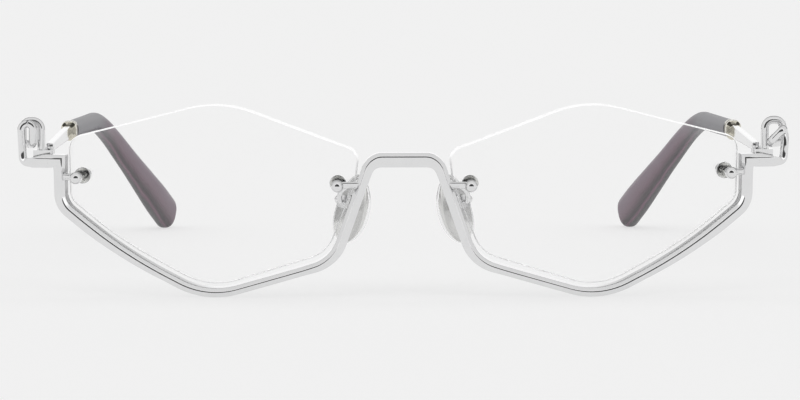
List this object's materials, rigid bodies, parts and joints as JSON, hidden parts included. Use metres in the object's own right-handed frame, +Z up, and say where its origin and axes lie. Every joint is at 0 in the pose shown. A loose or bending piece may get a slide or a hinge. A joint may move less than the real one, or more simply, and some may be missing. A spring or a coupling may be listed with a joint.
{
  "type": "eyeglasses",
  "caption": "Diamond-shaped eyeglasses with a polished wire below each clear lens, wound wire coils at the hinges, folding temples with smoky tips and rocking clear nose pads",
  "frame": {"origin": "on the table, in the middle of the footprint of the open glasses", "axes": "+X towards the wearer's left, +Y from the front of the glasses towards the ear tips, +Z up"},
  "size_m": [0.1436, 0.1528, 0.0358],
  "materials": {
    "polished_silver": "polished silver-coloured metal wire and fittings",
    "champagne_metal": "polished pale champagne gold",
    "clear_lens": "clear coated demo lens",
    "clear_silicone": "clear soft silicone",
    "clear_plastic": "clear hard plastic",
    "smoky_acetate": "polished smoky mauve translucent acetate"
  },
  "bodies": {
    "front": {"bridge": "polished_silver", "rim_left": "polished_silver", "rim_right": "polished_silver", "endpiece_left": "polished_silver", "endpiece_right": "polished_silver", "lens_left": "clear_lens", "lens_right": "clear_lens", "lens_tab_temple_left": "polished_silver", "lens_tab_temple_right": "polished_silver", "lens_tab_nose_left": "polished_silver", "lens_tab_nose_right": "polished_silver", "lens_screw_temple_left": "polished_silver", "lens_screw_temple_right": "polished_silver", "lens_screw_nose_left": "polished_silver", "lens_screw_nose_right": "polished_silver", "lens_nut_temple_left": "polished_silver", "lens_nut_temple_right": "polished_silver", "lens_nut_nose_left": "polished_silver", "lens_nut_nose_right": "polished_silver", "lens_washers_left": "clear_plastic", "lens_washers_right": "clear_plastic", "pad_arm_left": "polished_silver", "pad_arm_right": "polished_silver", "pad_box_left": "polished_silver", "pad_box_right": "polished_silver", "pad_screw_left": "polished_silver", "pad_screw_right": "polished_silver", "hinge_leaf_front_left": "polished_silver", "hinge_leaf_front_right": "polished_silver", "hinge_screw_left": "polished_silver", "hinge_screw_right": "polished_silver"},
    "pad_left_body": {"nose_pad_left": "clear_silicone", "pad_stud_left": "polished_silver"},
    "temple_left_body": {"temple_bar_left": "polished_silver", "hinge_leaf_temple_left": "polished_silver", "ferrule_left": "champagne_metal", "temple_tip_left": "smoky_acetate"},
    "pad_right_body": {"nose_pad_right": "clear_silicone", "pad_stud_right": "polished_silver"},
    "temple_right_body": {"temple_bar_right": "polished_silver", "hinge_leaf_temple_right": "polished_silver", "ferrule_right": "champagne_metal", "temple_tip_right": "smoky_acetate"}
  },
  "joints": [
    {"name": "temple_left", "type": "hinge", "parent": "front", "child": "temple_left_body", "pos_m": [0.0665, -0.05957, 0.02539], "axis": [0, 0, 1], "range_deg": [0, 86]},
    {"name": "temple_right", "type": "hinge", "parent": "front", "child": "temple_right_body", "pos_m": [-0.0665, -0.05957, 0.02539], "axis": [0, 0, -1], "range_deg": [0, 74]},
    {"name": "pad_left", "type": "hinge", "parent": "front", "child": "pad_left_body", "pos_m": [0.0106, -0.06211, 0.01709], "axis": [0.7064, 0.682, 0.1893], "range_deg": [-10, 10]},
    {"name": "pad_right", "type": "hinge", "parent": "front", "child": "pad_right_body", "pos_m": [-0.0106, -0.06211, 0.01709], "axis": [-0.7064, 0.682, 0.1893], "range_deg": [-10, 10]}
  ]
}
